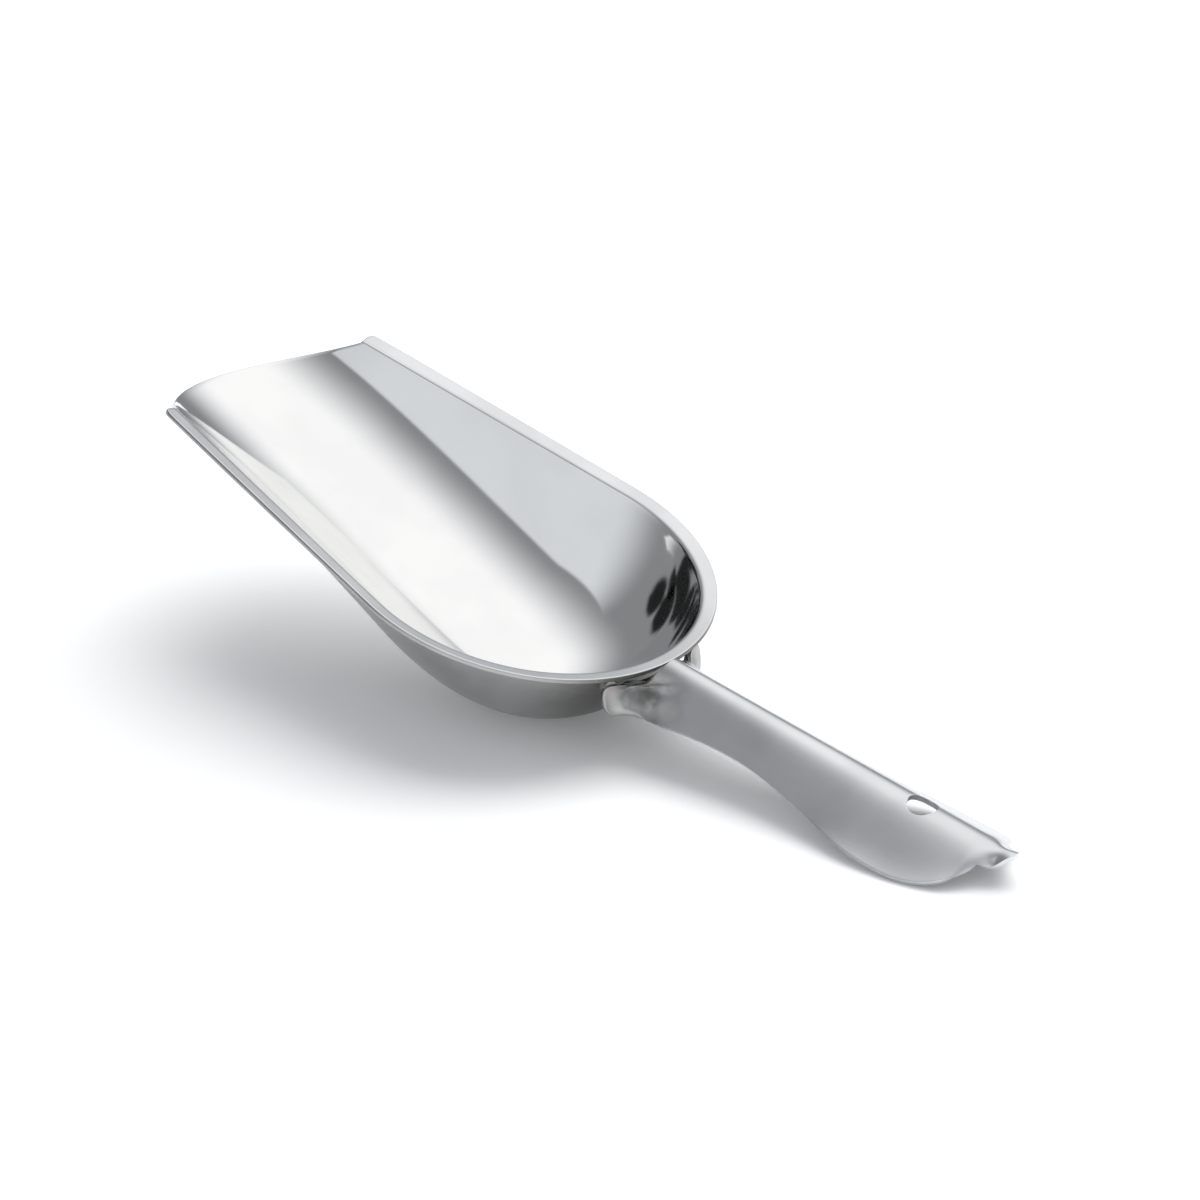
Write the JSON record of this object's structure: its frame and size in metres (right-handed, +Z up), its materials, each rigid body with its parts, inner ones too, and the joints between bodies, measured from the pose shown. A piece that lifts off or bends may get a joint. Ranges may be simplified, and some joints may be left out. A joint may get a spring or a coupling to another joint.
{
  "type": "ice scoop",
  "caption": "Small one-hand ice scoop: drawn sheet bowl with a flanged rim and open lip, and a pressed channel handle with a hanging hole.",
  "frame": {"origin": "centre of the footprint of the scoop as it rests on a table, on the table's surface", "axes": "+X from the lip towards the end of the handle, +Z up, +Y completes the right hand; the XZ plane is the plane of symmetry"},
  "size_m": [0.1906, 0.0712, 0.0467],
  "materials": {
    "polished_steel": "polished inside, satin outside",
    "satin_steel": "satin",
    "weld_steel": "matt, as welded"
  },
  "bodies": {
    "root": {"bowl": "polished_steel", "handle": "satin_steel", "spot_weld_left": "weld_steel", "spot_weld_right": "weld_steel"}
  },
  "joints": []
}
